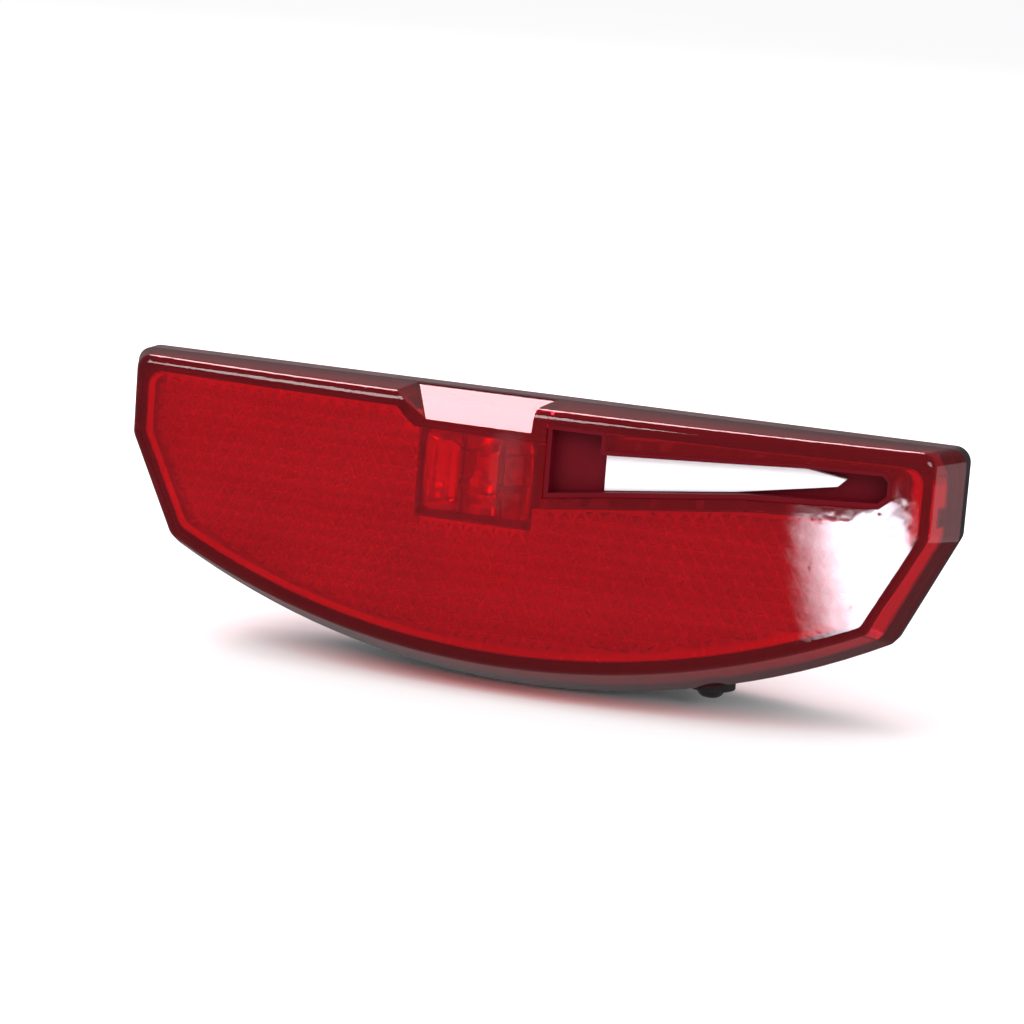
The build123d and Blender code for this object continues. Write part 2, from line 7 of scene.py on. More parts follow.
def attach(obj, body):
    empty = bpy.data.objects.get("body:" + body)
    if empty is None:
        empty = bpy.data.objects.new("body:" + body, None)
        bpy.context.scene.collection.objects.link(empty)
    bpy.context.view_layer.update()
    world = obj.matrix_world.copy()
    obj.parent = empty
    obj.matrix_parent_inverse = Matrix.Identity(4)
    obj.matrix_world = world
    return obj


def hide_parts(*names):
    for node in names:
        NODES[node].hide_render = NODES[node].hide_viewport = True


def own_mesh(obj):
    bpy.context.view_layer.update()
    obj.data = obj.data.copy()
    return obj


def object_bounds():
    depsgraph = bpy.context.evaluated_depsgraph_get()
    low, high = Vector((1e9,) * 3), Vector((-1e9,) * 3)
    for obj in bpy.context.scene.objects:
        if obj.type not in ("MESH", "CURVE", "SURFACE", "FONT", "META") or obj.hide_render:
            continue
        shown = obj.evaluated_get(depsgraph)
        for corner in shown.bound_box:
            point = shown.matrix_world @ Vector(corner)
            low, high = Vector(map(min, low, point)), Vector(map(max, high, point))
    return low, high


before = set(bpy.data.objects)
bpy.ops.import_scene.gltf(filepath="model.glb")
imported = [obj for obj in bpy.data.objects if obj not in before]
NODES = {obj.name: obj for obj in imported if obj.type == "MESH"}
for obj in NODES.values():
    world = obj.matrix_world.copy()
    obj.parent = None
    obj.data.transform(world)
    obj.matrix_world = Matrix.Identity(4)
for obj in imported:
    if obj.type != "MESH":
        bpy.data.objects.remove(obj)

cad_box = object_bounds()
MM = 0.001

# ---------------------------------------------------------------------------
# node helpers
# ---------------------------------------------------------------------------
def new_mat(name):
    m = bpy.data.materials.new(name)
    m.use_nodes = True
    nt = m.node_tree
    for n in list(nt.nodes):
        nt.nodes.remove(n)
    return m, nt


class G:
    """Small helper for wiring nodes."""
    def __init__(self, nt):
        self.nt = nt

    def n(self, kind, inputs=None, **props):
        node = self.nt.nodes.new(kind)
        for k, v in props.items():
            setattr(node, k, v)
        for k, v in (inputs or {}).items():
            self.put(node.inputs[k], v)
        return node

    def put(self, sock, v):
        if isinstance(v, bpy.types.NodeSocket):
            self.nt.links.new(v, sock)
        elif isinstance(v, bpy.types.Node):
            self.nt.links.new(v.outputs[0], sock)
        elif isinstance(v, (tuple, list)):
            sock.default_value = (tuple(v) + (1.0,)) if (len(v) == 3 and sock.type == "RGBA") else v
        else:
            sock.default_value = v

    def coord(self, scale=1000.0):
        """Object coordinates in millimetres."""
        tc = self.n("ShaderNodeTexCoord")
        mp = self.n("ShaderNodeMapping")
        mp.inputs["Scale"].default_value = (scale, scale, scale)
        self.nt.links.new(tc.outputs["Object"], mp.inputs["Vector"])
        return mp.outputs[0]

    def noise(self, vec, scale, detail=3.0, rough=0.55, dist=0.0):
        t = self.n("ShaderNodeTexNoise", {"Vector": vec, "Scale": scale, "Detail": detail,
                                          "Roughness": rough, "Distortion": dist})
        return t.outputs["Fac"]

    def ramp(self, fac, stops, interp="LINEAR"):
        r = self.n("ShaderNodeValToRGB", {"Fac": fac})
        r.color_ramp.interpolation = interp
        el = r.color_ramp.elements
        while len(el) < len(stops):
            el.new(0.5)
        for e, (p, c) in zip(el, stops):
            e.position = p
            e.color = c if len(c) == 4 else tuple(c) + (1.0,)
        return r.outputs["Color"]

    def rng(self, fac, a, b, c, d):
        r = self.n("ShaderNodeMapRange", {"Value": fac, "From Min": a, "From Max": b,
                                          "To Min": c, "To Max": d})
        return r.outputs[0]

    def mix(self, fac, a, b, mode="MIX"):
        m = self.n("ShaderNodeMix", data_type="RGBA", blend_type=mode)
        self.put(m.inputs[0], fac)
        self.put(m.inputs[6], a)
        self.put(m.inputs[7], b)
        return m.outputs[2]

    def math(self, op, a, b=0.0, c=None):
        m = self.n("ShaderNodeMath", operation=op)
        self.put(m.inputs[0], a)
        self.put(m.inputs[1], b)
        if c is not None:
            self.put(m.inputs[2], c)
        return m.outputs[0]

    def bump(self, height, dist_mm, strength=1.0, normal=None):
        b = self.n("ShaderNodeBump", {"Height": height, "Distance": dist_mm * MM,
                                      "Strength": strength})
        if normal is not None:
            self.put(b.inputs["Normal"], normal)
        return b.outputs[0]

    def out(self, surf):
        o = self.n("ShaderNodeOutputMaterial")
        self.nt.links.new(surf, o.inputs["Surface"])


def edge_wear(g, radius_mm=0.35, lo=0.02, hi=0.25):
    """1 on convex edges, 0 on flats, from a bevel-normal comparison."""
    bev = g.n("ShaderNodeBevel", {"Radius": radius_mm * MM}, samples=4)
    geo = g.n("ShaderNodeNewGeometry")
    dot = g.n("ShaderNodeVectorMath", operation="DOT_PRODUCT")
    g.nt.links.new(bev.outputs[0], dot.inputs[0])
    g.nt.links.new(geo.outputs["Normal"], dot.inputs[1])
    inv = g.math("SUBTRACT", 1.0, dot.outputs["Value"])
    return g.rng(inv, lo, hi, 0.0, 1.0)


def plastic(name, base, base2, rough=(0.35, 0.5), grain=0.25, grain_mm=0.02,
            spec=0.5, coat=0.0, wear=None, big=0.06):
    m, nt = new_mat(name)
    g = G(nt)
    v = g.coord()
    cloud = g.noise(v, big, 4.0, 0.6)
    col = g.mix(g.rng(cloud, 0.3, 0.7, 0.0, 1.0), base, base2)
    fine = g.noise(v, 1.0 / max(grain, 0.01) , 2.0, 0.5)
    cell = g.n("ShaderNodeTexVoronoi", {"Vector": v, "Scale": 1.6 / grain})
    h = g.math("ADD", fine, g.math("MULTIPLY", cell.outputs["Distance"], 0.6))
    r = g.rng(g.noise(v, 0.35, 5.0, 0.65), 0.3, 0.7, rough[0], rough[1])
    if wear is not None:
        w = edge_wear(g)
        w = g.math("MULTIPLY", w, g.rng(g.noise(v, 0.9, 4.0), 0.35, 0.65, 0.2, 1.0))
        col = g.mix(w, col, wear)
    b = g.n("ShaderNodeBsdfPrincipled", {
        "Base Color": col, "Roughness": r, "Specular IOR Level": spec,
        "Coat Weight": coat, "Coat Roughness": 0.08,
        "Normal": g.bump(h, grain_mm, 0.8)})
    g.out(b.outputs[0])
    return m


def metal(name, base, base2, rough=(0.2, 0.38), axis=None, scratch=0.006, plate_blue=0.0):
    m, nt = new_mat(name)
    g = G(nt)
    v = g.coord()
    mp = g.n("ShaderNodeMapping", {"Vector": v})
    mp.inputs["Scale"].default_value = axis or (6.0, 0.25, 6.0)
    brush = g.noise(mp.outputs[0], 1.6, 4.0, 0.7)
    cloud = g.noise(v, 0.22, 4.0, 0.6)
    col = g.mix(g.rng(cloud, 0.3, 0.7, 0.0, 1.0), base, base2)
    if plate_blue:
        tint = g.noise(v, 0.5, 2.0, 0.5, 1.0)
        col = g.mix(g.math("MULTIPLY", g.rng(tint, 0.45, 0.7, 0, 1), plate_blue), col,
                    (0.52, 0.60, 0.72))
    r = g.rng(g.noise(v, 1.1, 5.0, 0.7), 0.3, 0.7, rough[0], rough[1])
    b = g.n("ShaderNodeBsdfPrincipled", {
        "Base Color": col, "Metallic": 1.0, "Roughness": r,
        "Normal": g.bump(brush, scratch, 0.9)})
    g.out(b.outputs[0])
    return m


# ---------------------------------------------------------------------------
# materials
# ---------------------------------------------------------------------------
RED_T = (0.78, 0.022, 0.050)      # tint of one lens wall


def lens_material():
    m, nt = new_mat("red_lens_shell")
    g = G(nt)
    v = g.coord()
    # moulded colour varies a touch, with faint flow lines from the gate
    flow = g.n("ShaderNodeMapping", {"Vector": v})
    flow.inputs["Scale"].default_value = (0.03, 0.05, 0.22)
    fl = g.noise(flow.outputs[0], 1.0, 3.0, 0.5, 0.6)
    tint = g.mix(g.rng(fl, 0.3, 0.7, 0.0, 1.0), RED_T, (0.71, 0.014, 0.036))
    # orange peel, hairline scratches, dust-fine roughness patches
    peel = g.noise(v, 0.35, 2.0, 0.4)
    scr = g.n("ShaderNodeMapping", {"Vector": v})
    scr.inputs["Rotation"].default_value = (0.3, 0.5, 0.9)
    scr.inputs["Scale"].default_value = (0.25, 9.0, 0.4)
    scratch = g.rng(g.noise(scr.outputs[0], 1.5, 2.0, 0.5), 0.70, 0.78, 0.0, 1.0)
    rough = g.rng(g.noise(v, 0.10, 5.0, 0.7), 0.35, 0.75, 0.015, 0.075)
    rough = g.math("ADD", rough, g.math("MULTIPLY", scratch, 0.12))
    h = g.math("ADD", g.math("MULTIPLY", peel, 1.0), g.math("MULTIPLY", scratch, -0.08))
    nrm = g.bump(h, 0.012, 0.6)
    b = g.n("ShaderNodeBsdfPrincipled", {
        "Base Color": tint, "Roughness": rough, "IOR": 1.49,
        "Transmission Weight": 0.945, "Normal": nrm})
    # light passes the wall tinted, without caustic noise
    tr = g.n("ShaderNodeBsdfTransparent", {"Color": (0.80, 0.035, 0.05)})
    lp = g.n("ShaderNodeLightPath")
    pas = g.math("MAXIMUM", lp.outputs["Is Shadow Ray"], lp.outputs["Is Diffuse Ray"])
    mx = g.n("ShaderNodeMixShader", {0: pas, 1: b.outputs[0], 2: tr.outputs[0]})
    g.out(mx.outputs[0])
    return m


def prism_material():
    m, nt = new_mat("red_reflex_panel")
    g = G(nt)
    v = g.coord()
    cloud = g.noise(v, 0.07, 3.0, 0.5)
    col = g.mix(g.rng(cloud, 0.3, 0.7, 0.0, 1.0), (0.48, 0.015, 0.045), (0.39, 0.011, 0.034))
    r = g.rng(g.noise(v, 1.3, 3.0), 0.3, 0.7, 0.16, 0.30)
    b = g.n("ShaderNodeBsdfPrincipled", {
        "Base Color": col, "Metallic": 0.35, "Roughness": r, "Coat Weight": 0.5,
        "Coat Roughness": 0.05, "Normal": g.bump(g.noise(v, 2.0, 2.0), 0.01, 0.5)})
    g.out(b.outputs[0])
    return m


def optic_material():
    m, nt = new_mat("red_centre_optic")
    g = G(nt)
    v = g.coord()
    tint = g.mix(g.noise(v, 0.3, 2.0), (0.92, 0.20, 0.22), (0.88, 0.12, 0.15))
    b = g.n("ShaderNodeBsdfPrincipled", {
        "Base Color": tint, "Roughness": g.rng(g.noise(v, 1.0, 3.0), 0.3, 0.7, 0.03, 0.10),
        "IOR": 1.49, "Transmission Weight": 1.0,
        "Normal": g.bump(g.noise(v, 0.8, 2.0), 0.01, 0.5)})
    tr = g.n("ShaderNodeBsdfTransparent", {"Color": (0.95, 0.30, 0.32)})
    lp = g.n("ShaderNodeLightPath")
    pas = g.math("MAXIMUM", lp.outputs["Is Shadow Ray"], lp.outputs["Is Diffuse Ray"])
    mx = g.n("ShaderNodeMixShader", {0: pas, 1: b.outputs[0], 2: tr.outputs[0]})
    g.out(mx.outputs[0])
    return m


def opal_material():
    m, nt = new_mat("opal_window")
    g = G(nt)
    v = g.coord()
    col = g.mix(g.noise(v, 0.12, 3.0), (0.93, 0.93, 0.95), (0.86, 0.86, 0.89))
    b = g.n("ShaderNodeBsdfPrincipled", {
        "Base Color": col, "Roughness": g.rng(g.noise(v, 0.8, 4.0), 0.3, 0.7, 0.10, 0.22),
        "Subsurface Weight": 0.6, "Subsurface Radius": (0.003, 0.003, 0.003),
        "Subsurface Scale": 0.4, "Coat Weight": 0.6, "Coat Roughness": 0.04,
        "Normal": g.bump(g.noise(v, 1.2, 2.0), 0.008, 0.6)})
    g.out(b.outputs[0])
    return m


def board_material():
    m, nt = new_mat("board_soldermask")
    g = G(nt)
    v = g.coord()
    # copper tracks showing through the mask: a warped orthogonal maze
    brick = g.n("ShaderNodeTexBrick", {"Scale": 1.0, "Mortar Size": 0.035,
                                       "Mortar Smooth": 0.1})
    mp = g.n("ShaderNodeMapping", {"Vector": v})
    mp.inputs["Rotation"].default_value = (math.radians(90), 0, 0)
    mp.inputs["Scale"].default_value = (0.42, 0.42, 0.42)
    g.nt.links.new(mp.outputs[0], brick.inputs["Vector"])
    tracks = brick.outputs["Fac"]
    green = g.mix(g.noise(v, 0.2, 3.0), (0.010, 0.075, 0.030), (0.014, 0.10, 0.042))
    col = g.mix(tracks, green, (0.035, 0.19, 0.07))
    b = g.n("ShaderNodeBsdfPrincipled", {
        "Base Color": col, "Roughness": g.rng(g.noise(v, 1.5, 3.0), 0.3, 0.7, 0.22, 0.36),
        "Coat Weight": 0.5, "Normal": g.bump(tracks, 0.03, 0.6)})
    g.out(b.outputs[0])
    return m


def rubber(name, base=(0.018, 0.018, 0.019), grain=0.4):
    return plastic(name, base, tuple(c * 1.7 for c in base), rough=(0.68, 0.86),
                   grain=grain, grain_mm=0.03, spec=0.25)


M = {
    "lens": lens_material(),
    "prism": prism_material(),
    "optic": optic_material(),
    "opal": opal_material(),
    "housing": plastic("black_moulded_housing", (0.012, 0.012, 0.013), (0.018, 0.018, 0.019),
                       rough=(0.46, 0.62), grain=0.35, grain_mm=0.035, spec=0.28,
                       wear=(0.04, 0.04, 0.042)),
    "bezel": plastic("dark_bezel", (0.080, 0.002, 0.005), (0.100, 0.003, 0.008),
                     rough=(0.38, 0.52), grain=0.5, grain_mm=0.01, spec=0.06),
    "rubber": rubber("black_rubber"),
    "rubber_seal": rubber("seal_rubber", (0.022, 0.022, 0.023), 0.6),
    "button": plastic("button_satin", (0.012, 0.012, 0.013), (0.017, 0.017, 0.018),
                      rough=(0.30, 0.42), grain=0.25, grain_mm=0.015, wear=(0.06, 0.06, 0.062)),
    "zinc": metal("zinc_plated_steel", (0.60, 0.60, 0.58), (0.68, 0.68, 0.67),
                  rough=(0.24, 0.40), plate_blue=0.5),
    "spring": metal("spring_steel_wire", (0.50, 0.50, 0.50), (0.60, 0.59, 0.58),
                    rough=(0.18, 0.32), axis=(3, 3, 3)),
    "nickel": metal("nickel_plate", (0.70, 0.67, 0.61), (0.76, 0.73, 0.68),
                    rough=(0.12, 0.26), axis=(0.5, 5, 5)),
    "cradle": plastic("cradle_grey", (0.06, 0.06, 0.065), (0.075, 0.075, 0.08),
                      rough=(0.42, 0.56), grain=0.3, grain_mm=0.02),
    "board": board_material(),
    "chip": plastic("chip_epoxy", (0.020, 0.020, 0.022), (0.03, 0.03, 0.033),
                    rough=(0.42, 0.55), grain=0.12, grain_mm=0.012),
    "switch": plastic("switch_body_resin", (0.03, 0.03, 0.033), (0.04, 0.04, 0.044),
                      rough=(0.35, 0.5), grain=0.2, grain_mm=0.01),
    "lead_red": plastic("lead_red_pvc", (0.42, 0.015, 0.015), (0.50, 0.025, 0.02),
                        rough=(0.38, 0.5), grain=0.3, grain_mm=0.01),
    "lead_black": plastic("lead_black_pvc", (0.015, 0.015, 0.015), (0.022, 0.022, 0.022),
                          rough=(0.38, 0.5), grain=0.3, grain_mm=0.01),
    "mirror": metal("metallised_cup", (0.82, 0.82, 0.84), (0.88, 0.88, 0.89),
                    rough=(0.06, 0.16), axis=(1, 1, 1), scratch=0.003),
    "can": metal("capacitor_can", (0.66, 0.66, 0.68), (0.72, 0.72, 0.74), rough=(0.25, 0.4),
                 axis=(2, 2, 2)),
}


def cell_material():
    m, nt = new_mat("cell_jacket")
    g = G(nt)
    v = g.coord()
    sep = g.n("ShaderNodeSeparateXYZ", {"Vector": v})
    x = sep.outputs["X"]
    band = g.math("GREATER_THAN", g.math("ABSOLUTE", x), 13.0)
    col = g.mix(band, (0.030, 0.032, 0.040), (0.50, 0.33, 0.16))
    tip = g.math("GREATER_THAN", g.math("ABSOLUTE", x), 22.9)
    cloud = g.rng(g.noise(v, 0.4, 3.0), 0.3, 0.7, 0.9, 1.1)
    col = g.mix(tip, col, (0.68, 0.67, 0.64))
    b = g.n("ShaderNodeBsdfPrincipled", {
        "Base Color": col, "Metallic": g.math("MAXIMUM", g.math("MULTIPLY", band, 0.7), tip),
        "Roughness": g.math("MULTIPLY", g.rng(g.noise(v, 0.9, 4.0), 0.3, 0.7, 0.2, 0.34), cloud),
        "Coat Weight": 0.6, "Normal": g.bump(g.noise(v, 1.0, 3.0), 0.01, 0.5)})
    g.out(b.outputs[0])
    return m


def led_material():
    m, nt = new_mat("led_package")
    g = G(nt)
    v = g.coord()
    col = g.mix(g.noise(v, 0.8, 3.0), (0.84, 0.82, 0.76), (0.78, 0.74, 0.62))
    b = g.n("ShaderNodeBsdfPrincipled", {
        "Base Color": col, "Roughness": g.rng(g.noise(v, 2.0, 3.0), 0.3, 0.7, 0.15, 0.3),
        "Subsurface Weight": 0.3, "Subsurface Scale": 0.0006, "Coat Weight": 0.8,
        "Normal": g.bump(g.noise(v, 4.0, 2.0), 0.006, 0.5)})
    g.out(b.outputs[0])
    return m


M["cell"] = cell_material()
M["led"] = led_material()

ASSIGN = {
    "lens": "lens", "sensor_bezel": "bezel", "sensor_window": "opal",
    "retroreflector_panel": "prism", "centre_optic": "optic", "base_housing": "housing",
    "lens_gasket": "rubber_seal", "mounting_pad": "rubber", "mounting_studs": "zinc",
    "lens_screws": "zinc", "battery_cradle": "cradle", "battery_cells": "cell",
    "bridge_contact": "nickel", "terminal_plates": "nickel", "battery_springs": "nickel",
    "circuit_board": "board", "pcb_screws": "zinc", "main_led": "led", "side_leds": "led",
    "indicator_led": "led", "light_sensor": "chip", "driver_chip": "chip",
    "chip_resistors": "chip", "capacitor": "can", "led_reflector": "mirror",
    "push_button": "button", "button_seal": "rubber_seal", "button_clip": "spring",
    "button_spring": "spring", "switch_body": "switch", "switch_plunger": "button",
    "lead_red": "lead_red", "lead_black": "lead_black",
}
for n, o in NODES.items():
    o.data.materials.clear()
    o.data.materials.append(M[ASSIGN[n]])


# ---------------------------------------------------------------------------
# smooth shading across shallow facets, hard edges kept
# ---------------------------------------------------------------------------
def smooth_group(limit_deg):
    ng = bpy.data.node_groups.new("smooth_by_angle_%d" % limit_deg, "GeometryNodeTree")
    ng.interface.new_socket("Geometry", in_out="INPUT", socket_type="NodeSocketGeometry")
    ng.interface.new_socket("Geometry", in_out="OUTPUT", socket_type="NodeSocketGeometry")
    gi = ng.nodes.new("NodeGroupInput")
    go = ng.nodes.new("NodeGroupOutput")
    f = ng.nodes.new("GeometryNodeSetShadeSmooth")
    f.domain = "FACE"
    f.inputs["Shade Smooth"].default_value = True
    e = ng.nodes.new("GeometryNodeSetShadeSmooth")
    e.domain = "EDGE"
    e.inputs["Shade Smooth"].default_value = False
    a = ng.nodes.new("GeometryNodeInputMeshEdgeAngle")
    c = ng.nodes.new("ShaderNodeMath")
    c.operation = "GREATER_THAN"
    c.inputs[1].default_value = math.radians(limit_deg)
    L = ng.links
    L.new(gi.outputs[0], f.inputs["Geometry"])
    L.new(f.outputs[0], e.inputs["Geometry"])
    L.new(a.outputs["Unsigned Angle"], c.inputs[0])
    L.new(c.outputs[0], e.inputs["Selection"])
    L.new(e.outputs[0], go.inputs[0])
    return ng


SMOOTH = smooth_group(26)


def add_smooth(o, weighted=True):
    m = o.modifiers.new("smooth", "NODES")
    m.node_group = SMOOTH
    if weighted:
        w = o.modifiers.new("weighted", "WEIGHTED_NORMAL")
        w.keep_sharp = True
        w.weight = 80


for n, o in NODES.items():
    add_smooth(o)

# ---------------------------------------------------------------------------
# pieces built here
# ---------------------------------------------------------------------------
D_MID, D_END = 11.2, 6.7
SAG = D_MID - D_END
FR = (3600.0 + SAG * SAG) / (2 * SAG)
FCY = -23.0 - D_MID + FR
K = math.tan(math.radians(23.0))


def front_y(x, t=0.0):
    return FCY - math.sqrt((FR - t) ** 2 - x * x)


class Shell:
    """Collects vertices (mm) and faces, then makes one object."""
    def __init__(self):
        self.v, self.f = [], []

    def add(self, verts, faces):
        b = len(self.v)
        self.v += verts
        self.f += [tuple(i + b for i in f) for f in faces]

    def make(self, name, mat, smooth=True, weighted=False):
        me = bpy.data.meshes.new(name)
        me.from_pydata([(x * MM, y * MM, z * MM) for x, y, z in self.v], [], self.f)
        bm = bmesh.new()
        bm.from_mesh(me)
        bmesh.ops.recalc_face_normals(bm, faces=bm.faces)
        bm.to_mesh(me)
        bm.free()
        me.validate()
        o = bpy.data.objects.new(name, me)
        bpy.context.scene.collection.objects.link(o)
        o.data.materials.append(mat)
        if smooth:
            add_smooth(o, weighted)
        return o


def loft_rings(rings, cap=True):
    """Faces for a list of equal-length closed rings."""
    n = len(rings[0])
    verts = [p for r in rings for p in r]
    faces = []
    for i in range(len(rings) - 1):
        for j in range(n):
            k = (j + 1) % n
            faces.append((i * n + j, i * n + k, (i + 1) * n + k, (i + 1) * n + j))
    if cap:
        faces.append(tuple(range(n))[::-1])
        faces.append(tuple((len(rings) - 1) * n + j for j in range(n)))
    return verts, faces


# --- cube-corner prisms standing on the front of the reflex panel -----------
ARC_SAG = -12.3 + 25.6
ARC_R = (52.7 ** 2 + ARC_SAG ** 2) / (2 * ARC_SAG)
ARC_CZ = -25.6 + ARC_R
DG = math.atan2(60.0 - 52.7, 3.0 + 12.3)
DNX, DNZ = math.cos(DG), -math.sin(DG)
LOW = [(3.0, 0.9), (14.2, 2.2), (33.0, 4.2), (51.0, 4.9), (60.0, 4.9)]


def on_panel(x, z):
    depth = -23.0 - front_y(x)
    inset = 3.35 + K * (depth - 2.45) + 0.12
    ax = abs(x)
    if ax > 60.0 - inset or DNX * ax + DNZ * z > DNX * 60.0 + DNZ * 3.0 - inset:
        return False
    if math.hypot(x, z - ARC_CZ) > ARC_R - inset:
        return False
    if z > 12.3:
        return False
    if x > 53.9 and z > 4.0:
        return True
    if x > -14.2:
        if x < 3.2:
            if z > -2.4:
                return False
        else:
            for (x0, z0), (x1, z1) in zip(LOW[:-1], LOW[1:]):
                if x0 <= x <= x1 and z > z0 + (z1 - z0) * (x - x0) / (x1 - x0) - 0.2:
                    return False
    if z > 10.0 and x > -20.8 + (15.5 - z):
        return False
    return True


def build_prisms():
    sh = Shell()
    a = 2.2
    h = a * math.sqrt(3) / 2
    T_BASE, T_APEX = 3.42, 2.52
    for j in range(-16, 10):
        z0, z1 = j * h, (j + 1) * h
        off = (j % 2) * a / 2
        for i in range(-30, 30):
            x0 = i * a + off
            up = ((x0, z0), (x0 + a, z0), (x0 + a / 2, z1))
            dn = ((x0 + a / 2, z1), (x0 + a, z0), (x0 + 1.5 * a, z1))
            for tri in (up, dn):
                cx = sum(p[0] for p in tri) / 3
                cz = sum(p[1] for p in tri) / 3
                if not on_panel(cx, cz):
                    continue
                # edge cells are pulled in to stay on the carrier
                pts = []
                for x, z in tri:
                    s = 0.0
                    while not on_panel(x + (cx - x) * s, z + (cz - z) * s) and s < 0.9:
                        s += 0.05
                    pts.append((x + (cx - x) * s, z + (cz - z) * s))
                v = [(x, front_y(x, T_BASE), z) for x, z in pts]
                v.append((cx, front_y(cx, T_APEX), cz))
                sh.add(v, [(0, 1, 2), (0, 1, 3), (1, 2, 3), (2, 0, 3)])
    o = sh.make("reflex_prisms", M["prism"], smooth=False)
    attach(o, "housing")
    return o


build_prisms()


# --- fluted optic in front of the main LED ----------------------------------
def build_optic():
    sh = Shell()
    x0, x1, z0, z1, r = -13.7, 2.7, -1.9, 10.3, 1.2
    top = 9.75
    n_f, per = 3, 22
    pitch = (x1 - x0) / n_f
    half = pitch / 2
    H = 1.5
    R = (half * half + H * H) / (2 * H)
    xs = []
    for f in range(n_f):
        for i in range(per):
            xs.append(x0 + pitch * (f + i / per))
    xs.append(x1)
    cols = []
    for x in xs:
        d = 0.0
        if x < x0 + r:
            d = r - math.sqrt(max(r * r - (x0 + r - x) ** 2, 0.0))
        elif x > x1 - r:
            d = r - math.sqrt(max(r * r - (x - x1 + r) ** 2, 0.0))
        f = min(int((x - x0) / pitch), n_f - 1)
        dx = x - (x0 + pitch * (f + 0.5))
        y = front_y(x, 2.98) + (R - math.sqrt(max(R * R - dx * dx, 0.0)))
        cols.append((x, y, z0 + d, min(z1 - d, top)))
    m = 7
    rings = []
    for x, y, za, zb in cols:
        ring = []
        for k in range(m):
            u = k / (m - 1)
            z = za + (zb - za) * u
            dome = 0.28 * (abs(2 * u - 1) ** 3)       # flutes roll off at both ends
            ring.append((x, min(y + dome, -29.15), z))
        for k in range(m):
            u = 1 - k / (m - 1)
            ring.append((x, -29.0, za + (zb - za) * u))
        rings.append(ring)
    v, f = loft_rings(rings)
    sh.add(v, f)
    o = sh.make("fluted_optic", M["optic"])
    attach(o, "housing")
    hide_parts("centre_optic")
    return o


build_optic()


# --- mounting studs with rolled M5 x 0.8 thread ------------------------------
def build_studs():
    sh = Shell()
    N = 40
    PITCH = 0.8
    for sx in (-40.0, 40.0):
        prof = [(-4.3, 2.2), (-4.3, 2.75), (-0.35, 2.75), (0.0, 2.5), (0.25, 2.5)]
        rings = []
        for y, r in prof:
            rings.append([(sx + r * math.cos(2 * math.pi * j / N), y,
                           r * math.sin(2 * math.pi * j / N)) for j in range(N)])
        ys = np.arange(0.35, 15.95, PITCH / 10)
        for y in ys:
            ring = []
            for j in range(N):
                th = 2 * math.pi * j / N
                ph = ((y / PITCH) - th / (2 * math.pi)) % 1.0
                tri = 1 - abs(2 * ph - 1)             # 0 at crest, 1 at root
                cut = min(max((tri - 0.12) / 0.76, 0.0), 1.0) * 0.43
                fade = min((y - 0.35) / 0.7, 1.0)
                r = 2.49 - cut * fade
                lim = 2.5 - max(0.0, y - 15.4) * 1.0
                r = min(r, lim)
                ring.append((sx + r * math.cos(th), float(y), r * math.sin(th)))
            rings.append(ring)
        y_end = 15.99
        rings.append([(sx + 1.85 * math.cos(2 * math.pi * j / N), y_end,
                       1.85 * math.sin(2 * math.pi * j / N)) for j in range(N)])
        v, f = loft_rings(rings)
        sh.add(v, f)
        # hexagon head, chamfered at the back
        hexr = 4.0 / math.cos(math.pi / 6)
        rings = []
        M6 = 48
        def hexrad(th, af2):
            q = (th % (math.pi / 3)) - math.pi / 6
            return af2 / math.cos(q)
        for y, cap in ((-4.0, 4.35), (-4.3, 9.0), (-7.2, 9.0), (-7.5, 4.35)):
            ring = []
            for j in range(M6):
                th = 2 * math.pi * j / M6 + math.pi / 6
                r = min(hexrad(th + math.pi / 6, 4.0), cap, 4.6188)
                ring.append((sx + r * math.cos(th), y, r * math.sin(th)))
            rings.append(ring)
        v, f = loft_rings(rings)
        sh.add(v, f)
    o = sh.make("threaded_studs", M["zinc"])
    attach(o, "housing")
    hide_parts("mounting_studs")
    return o


build_studs()


# --- coil spring of the push button ------------------------------------------
def build_coil():
    sh = Shell()
    bx, by = 27.0, -19.4
    z_lo, z_hi, R, w = -18.50, -15.70, 1.5, 0.17
    turns, seg, N = 4.6, 40, 10
    total = int(turns * seg)
    lo, hi = z_lo + w + 0.02, z_hi - w - 0.02
    rings = []
    for i in range(total + 1):
        u = i / total
        t = u * turns
        dead = 0.8
        if t < dead:
            z = lo + 0.10 * t / dead
        elif t > turns - dead:
            z = hi - 0.10 * (turns - t) / dead
        else:
            z = lo + 0.10 + (hi - lo - 0.20) * (t - dead) / (turns - 2 * dead)
        th = 2 * math.pi * t
        c = Vector((bx + R * math.cos(th), by + R * math.sin(th), z))
        rad = Vector((math.cos(th), math.sin(th), 0))
        ring = []
        for k in range(N):
            p = 2 * math.pi * k / N
            q = c + rad * (w * math.cos(p)) + Vector((0, 0, 1)) * (w * math.sin(p))
            ring.append(tuple(q))
        rings.append(ring)
    v, f = loft_rings(rings)
    sh.add(v, f)
    o = sh.make("button_coil", M["spring"])
    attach(o, "housing")
    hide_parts("button_spring")
    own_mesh(o)
    return o


build_coil()


